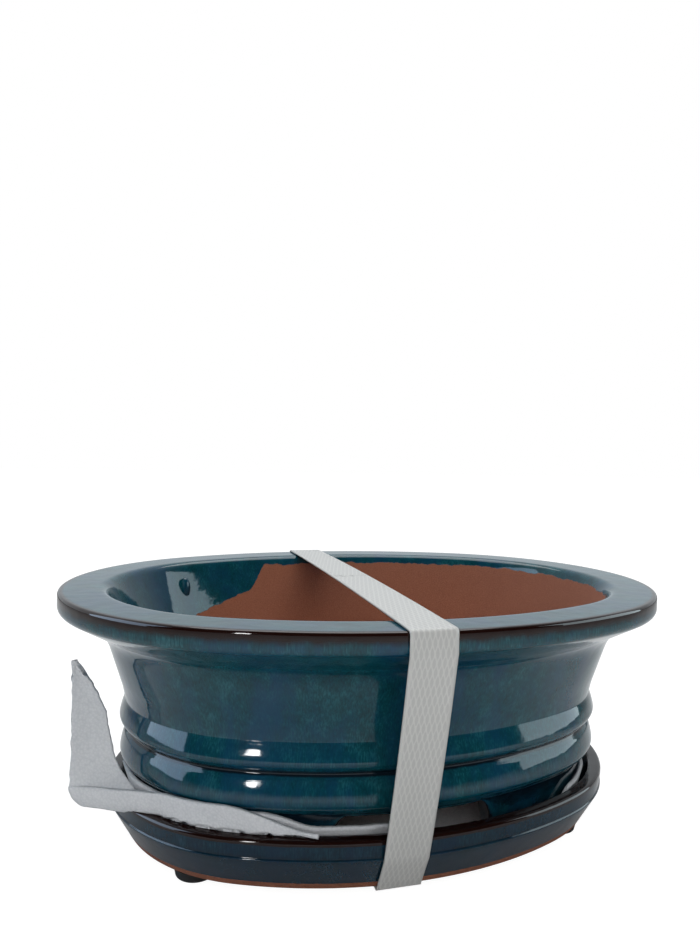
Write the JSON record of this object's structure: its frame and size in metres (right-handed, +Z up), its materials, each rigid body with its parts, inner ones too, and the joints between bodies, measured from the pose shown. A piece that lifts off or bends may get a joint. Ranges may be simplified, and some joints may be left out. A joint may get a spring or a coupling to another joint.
{
  "type": "bonsai pot",
  "caption": "Oval glazed bonsai pot with a flared rim and two mouldings, standing on foam in its drip saucer and held by a packing strap.",
  "frame": {"origin": "on the floor under the middle of the pot", "axes": "+Z up, +X along the pot's long side, -Y out of the side that the picture shows at the front"},
  "size_m": [0.25, 0.1936, 0.0988],
  "materials": {
    "glazed_pot": "mottled blue-green glaze over red-brown stoneware, breaking brown at the edges",
    "glazed_saucer": "mottled dark blue glaze over red-brown stoneware, breaking brown at the lip",
    "rubber": "moulded matt black",
    "adhesive": "pressure-sensitive acrylic adhesive",
    "strapping": "off-white embossed polypropylene band",
    "foam": "white expanded polyethylene sheet"
  },
  "bodies": {
    "saucer": {"saucer": "glazed_saucer", "foam_sheet": "foam", "strap": "strapping", "rubber_foot_front_left": "rubber", "adhesive_disc_front_left": "adhesive", "rubber_foot_front_right": "rubber", "adhesive_disc_front_right": "adhesive", "rubber_foot_back_left": "rubber", "adhesive_disc_back_left": "adhesive", "rubber_foot_back_right": "rubber", "adhesive_disc_back_right": "adhesive"},
    "pot": {"pot": "glazed_pot"}
  },
  "joints": [
    {"name": "pot_lift", "type": "slide", "parent": "saucer", "child": "pot", "axis": [0, 0, 1], "range_m": [0, 0.03], "deforming": ["strap"]}
  ]
}
